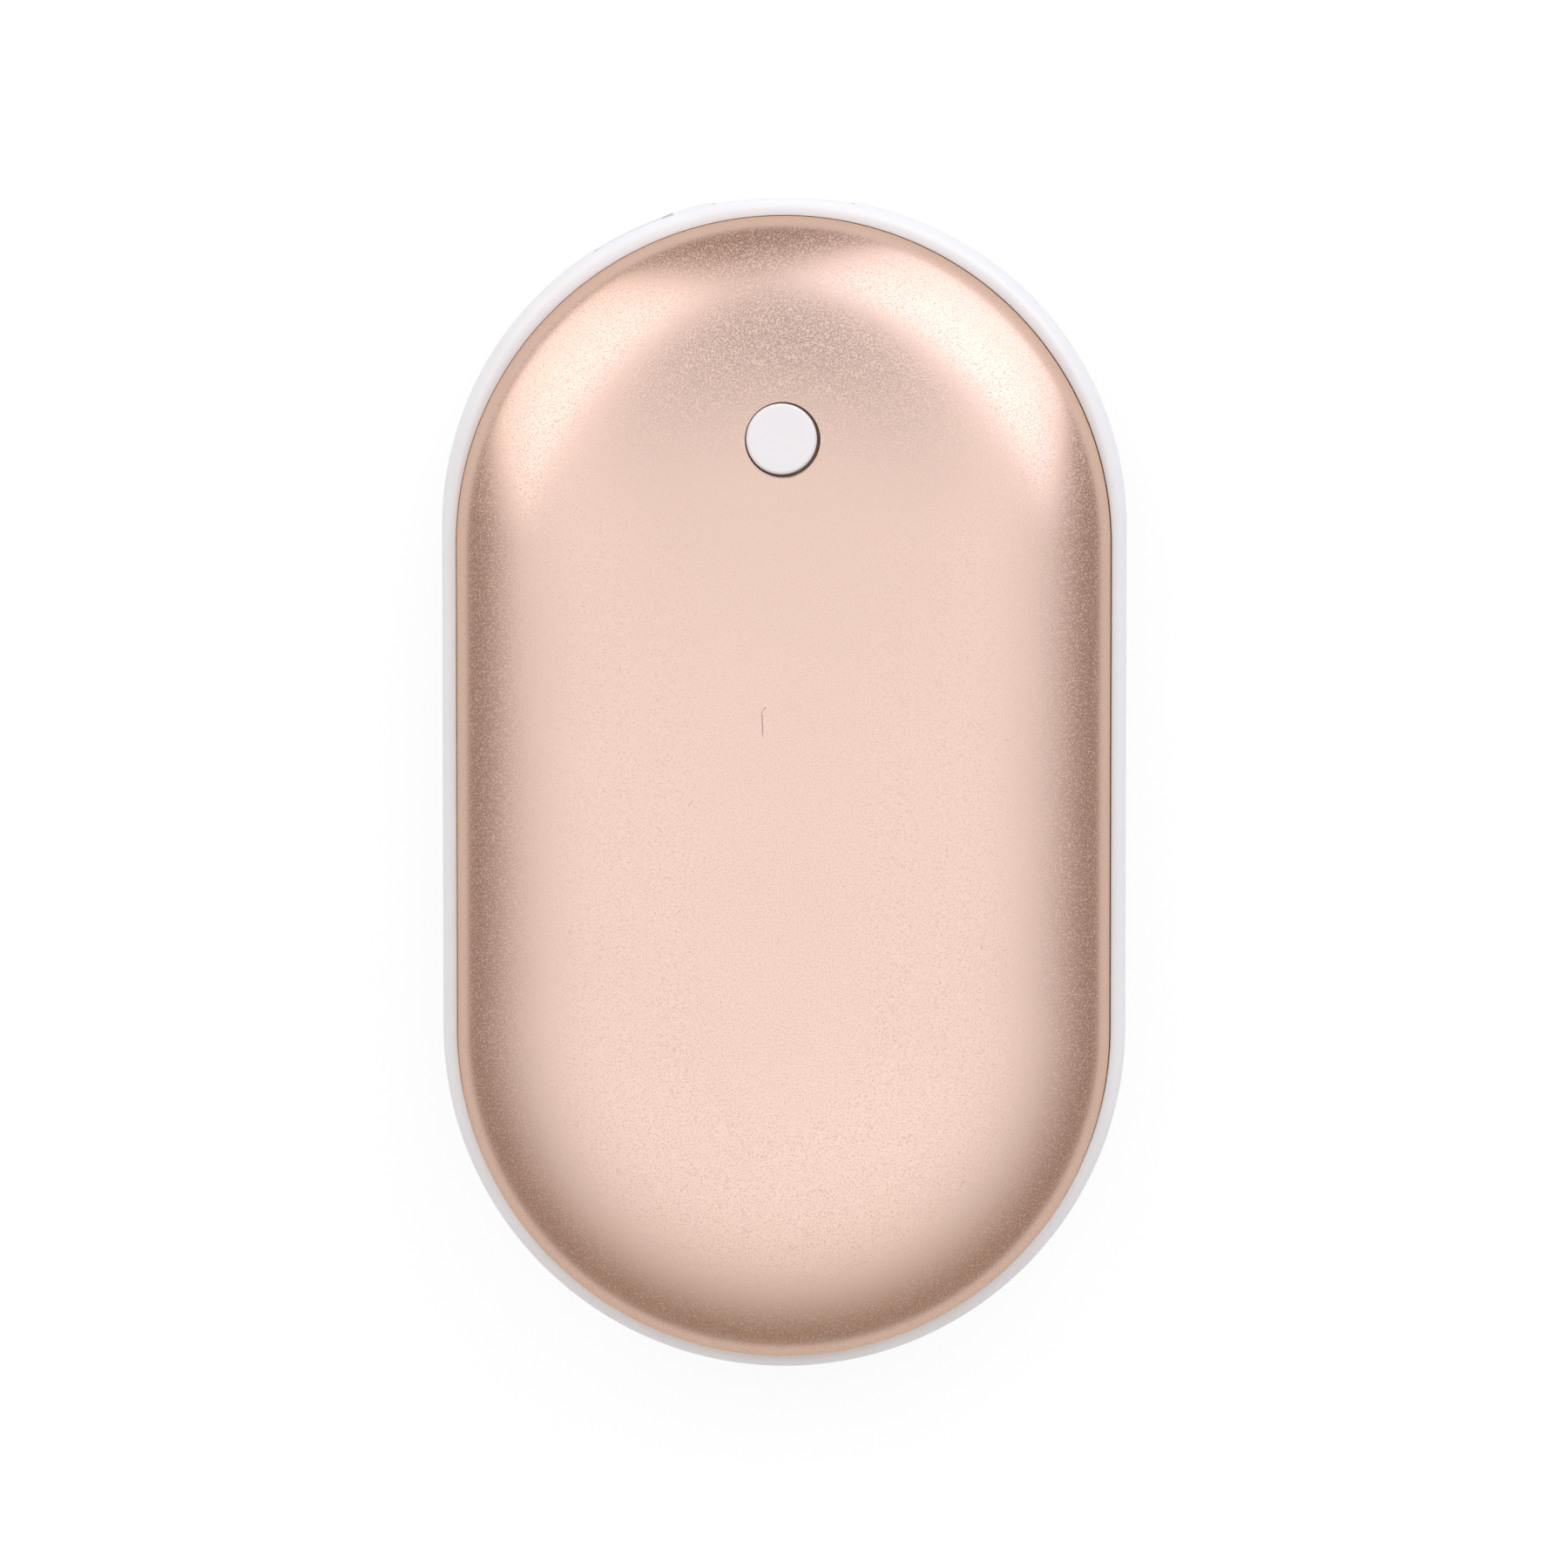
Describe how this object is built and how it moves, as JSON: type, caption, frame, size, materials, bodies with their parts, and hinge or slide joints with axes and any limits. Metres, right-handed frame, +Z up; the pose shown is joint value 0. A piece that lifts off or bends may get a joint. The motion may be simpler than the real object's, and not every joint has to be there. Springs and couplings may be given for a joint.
{
  "type": "rechargeable hand warmer",
  "caption": "Pebble shaped rechargeable hand warmer with two anodised aluminium shells, a white rim frame, a round push button and charging and output sockets.",
  "frame": {"origin": "middle of the length and width, at the height of the flat rear face that the object rests on", "axes": "+Z up out of the front face with the button, +Y along the body towards the button and the sockets, +X to the right seen from the front"},
  "size_m": [0.0624, 0.1064, 0.0252],
  "materials": {
    "anodised_aluminium": "satin rose gold anodised, fine sand-blasted grain",
    "frame_white": "smooth white moulding",
    "button_white": "smooth white moulding",
    "liner_plastic": "plain moulding",
    "tray_plastic": "plain black moulding",
    "black_plastic": "fine moulding",
    "socket_plastic": "natural nylon",
    "plated_steel": "nickel plated sheet",
    "screw_steel": "zinc plated",
    "gold_contacts": "gold flash",
    "nickel": "nickel strip",
    "board_green": "solder mask over glass laminate",
    "chip_black": "moulded resin",
    "chip_ceramic": "fired ceramic",
    "ferrite": "ferrite",
    "led_resin": "clear resin",
    "cell_can": "plated can",
    "cell_wrap": "shrink sleeve",
    "insulator_paper": "fibre paper",
    "foam": "closed cell foam",
    "heater_film": "amber polyimide",
    "heater_foil": "etched resistance foil",
    "fuse_ceramic": "ceramic body with tinned ends",
    "bead_resin": "dipped resin",
    "lead_red": "silicone sleeve",
    "lead_black": "silicone sleeve",
    "lead_white": "silicone sleeve"
  },
  "bodies": {
    "body": {"front_shell": "anodised_aluminium", "rear_shell": "anodised_aluminium", "mid_frame": "frame_white", "front_liner": "liner_plastic", "rear_liner": "liner_plastic", "switch_base": "black_plastic", "switch_cover": "plated_steel", "switch_dome": "plated_steel", "switch_terminals": "plated_steel", "circuit_board": "board_green", "board_screws": "screw_steel", "usb_a_shell": "plated_steel", "usb_a_insulator": "socket_plastic", "usb_a_contacts": "gold_contacts", "micro_usb_shell": "plated_steel", "micro_usb_insulator": "black_plastic", "micro_usb_contacts": "gold_contacts", "controller_chip": "chip_black", "power_inductor": "ferrite", "heater_mosfets": "chip_black", "board_passives": "chip_ceramic", "indicator_leds": "led_resin", "heater_sockets": "socket_plastic", "heater_plugs": "socket_plastic", "cell_left": "cell_can", "cell_right": "cell_can", "cell_wraps": "cell_wrap", "insulator_rings": "insulator_paper", "positive_strip": "nickel", "negative_strip": "nickel", "cell_tray": "tray_plastic", "tray_screws": "screw_steel", "front_foam": "foam", "rear_foam": "foam", "front_heater_film": "heater_film", "rear_heater_film": "heater_film", "front_heater_element": "heater_foil", "rear_heater_element": "heater_foil", "thermal_fuse": "fuse_ceramic", "thermistor": "bead_resin", "battery_lead_red": "lead_red", "battery_lead_black": "lead_black", "front_heater_leads": "lead_white", "rear_heater_leads": "lead_white", "thermistor_leads": "lead_white"},
    "button": {"button_cap": "button_white"},
    "plunger": {"switch_plunger": "black_plastic"}
  },
  "joints": [
    {"name": "button_press", "type": "slide", "parent": "body", "child": "button", "axis": [0, 0, -1], "range_m": [0, 0.00035], "stiffness_N_per_m": 5000, "deforming": ["switch_dome"]},
    {"name": "plunger_press", "type": "slide", "parent": "body", "child": "plunger", "axis": [0, 0, -1], "range_m": [0, 0.00035]}
  ],
  "couplings": [
    {"joint": "plunger_press", "follows": "button_press", "ratio": 1}
  ]
}
